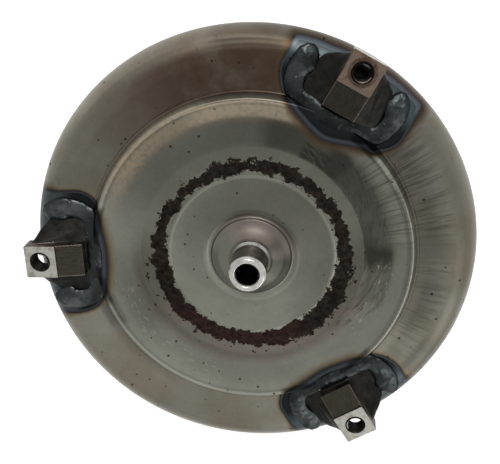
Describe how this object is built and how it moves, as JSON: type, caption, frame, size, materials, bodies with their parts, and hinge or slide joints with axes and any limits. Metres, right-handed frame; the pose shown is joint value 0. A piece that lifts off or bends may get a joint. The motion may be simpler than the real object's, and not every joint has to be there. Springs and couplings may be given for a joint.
{
  "type": "torque converter",
  "caption": "Automatic-transmission torque converter: welded steel housing with pilot, bolted drive lugs and pump hub around turbine, stator and lock-up clutch.",
  "frame": {"origin": "centre of the pump hub's end, on the axis of rotation", "axes": "+Z along the axis of rotation, from the pump hub towards the engine; +Y through the first drive lug"},
  "size_m": [0.248, 0.2495, 0.1446],
  "materials": {
    "cover_steel": "bare satin pressed steel with rust and heat tint",
    "pilot_steel": "turned bright",
    "lug_steel": "forged black scale, bolted face machined bare",
    "weld_metal": "oxidised weld bead",
    "shell_steel": "pressed steel",
    "blade_steel": "brazed sheet steel",
    "hub_steel": "ground and turned",
    "bearing_steel": "ground bright",
    "cage_brass": "pressed brass",
    "plate_steel": "pressed steel",
    "rivet_steel": "upset heads",
    "spring_steel": "shot-peened blue-grey",
    "friction_paper": "brown paper friction facing",
    "seal_rubber": "matt",
    "bearing_plastic": "brown moulded resin",
    "stator_alloy": "die cast"
  },
  "bodies": {
    "housing": {"front_cover": "cover_steel", "pilot": "pilot_steel", "drive_lug_1": "lug_steel", "drive_lug_2": "lug_steel", "drive_lug_3": "lug_steel", "lug_weld_1": "weld_metal", "lug_weld_2": "weld_metal", "lug_weld_3": "weld_metal", "seam_weld": "weld_metal", "impeller_shell": "shell_steel", "impeller_blades": "blade_steel", "impeller_core_ring": "blade_steel", "pump_hub": "hub_steel", "hub_weld": "weld_metal", "rear_bearing_lower_race": "bearing_steel"},
    "turbine": {"turbine_shell": "shell_steel", "turbine_blades": "blade_steel", "turbine_core_ring": "blade_steel", "turbine_hub": "hub_steel", "turbine_rivets": "rivet_steel", "driven_plate": "plate_steel", "piston_seal": "seal_rubber", "thrust_washer": "bearing_plastic", "front_bearing_upper_race": "bearing_steel"},
    "damper": {"spring_retainer": "plate_steel", "damper_springs": "spring_steel"},
    "piston": {"lockup_piston": "plate_steel", "friction_lining": "friction_paper"},
    "reaction_race": {"clutch_inner_race": "bearing_steel"},
    "stator": {"stator_wheel": "stator_alloy", "clutch_outer_race": "bearing_steel", "clutch_rollers": "bearing_steel", "clutch_springs": "plate_steel", "clutch_front_plate": "bearing_plastic", "clutch_rear_plate": "bearing_plastic", "stator_snap_ring": "plate_steel", "front_bearing_lower_race": "bearing_steel", "rear_bearing_upper_race": "bearing_steel"},
    "front_cage": {"front_bearing_cage": "cage_brass", "front_bearing_rollers": "bearing_steel"},
    "rear_cage": {"rear_bearing_cage": "cage_brass", "rear_bearing_rollers": "bearing_steel"}
  },
  "joints": [
    {"name": "turbine_spin", "type": "hinge", "parent": "housing", "child": "turbine", "pos_m": [0, 0, 0.0745], "axis": [0, 0, 1], "continuous": true},
    {"name": "damper_twist", "type": "hinge", "parent": "turbine", "child": "damper", "pos_m": [0, 0, 0.094], "axis": [0, 0, 1], "range_deg": [-8, 8], "stiffness_Nm_per_rad": 600, "deforming": ["damper_springs"]},
    {"name": "piston_apply", "type": "slide", "parent": "damper", "child": "piston", "axis": [0, 0, 1], "range_m": [0, 0.00095]},
    {"name": "reaction_spin", "type": "hinge", "parent": "housing", "child": "reaction_race", "pos_m": [0, 0, 0.062], "axis": [0, 0, 1], "continuous": true},
    {"name": "stator_spin", "type": "hinge", "parent": "reaction_race", "child": "stator", "pos_m": [0, 0, 0.062], "axis": [0, 0, 1], "continuous": true},
    {"name": "front_cage_spin", "type": "hinge", "parent": "housing", "child": "front_cage", "pos_m": [0, 0, 0.0727], "axis": [0, 0, 1], "continuous": true},
    {"name": "rear_cage_spin", "type": "hinge", "parent": "housing", "child": "rear_cage", "pos_m": [0, 0, 0.0514], "axis": [0, 0, 1], "continuous": true}
  ],
  "couplings": [
    {"joint": "front_cage_spin", "follows": "turbine_spin", "ratio": 0.5},
    {"joint": "rear_cage_spin", "follows": "reaction_spin", "ratio": 0.5}
  ]
}
